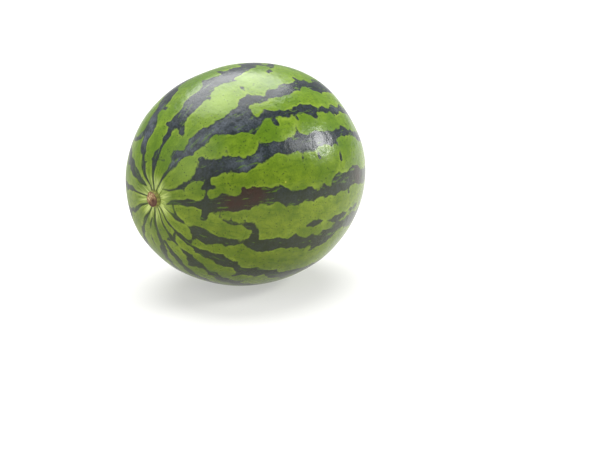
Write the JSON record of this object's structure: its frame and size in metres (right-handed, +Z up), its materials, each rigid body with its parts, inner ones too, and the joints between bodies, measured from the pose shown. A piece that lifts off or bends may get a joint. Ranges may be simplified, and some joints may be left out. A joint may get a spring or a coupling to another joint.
{
  "type": "watermelon",
  "caption": "Whole striped watermelon lying on its side, slightly longer than it is wide, with a dry stem stub at one end and a small flat resting spot below.",
  "frame": {"origin": "on the surface that the fruit rests on, under the middle of its bounding box", "axes": "+X along the fruit's long axis from the stem end to the blossom end, +Y to the side, +Z up"},
  "size_m": [0.2264, 0.195, 0.1929],
  "materials": {
    "rind": "smooth waxy rind, light green with dark grey-green stripes, soft gloss",
    "stem": "dry, corky and fibrous, matte brown with an olive collar"
  },
  "bodies": {
    "root": {"fruit": "rind", "stem_stub": "stem"}
  },
  "joints": []
}
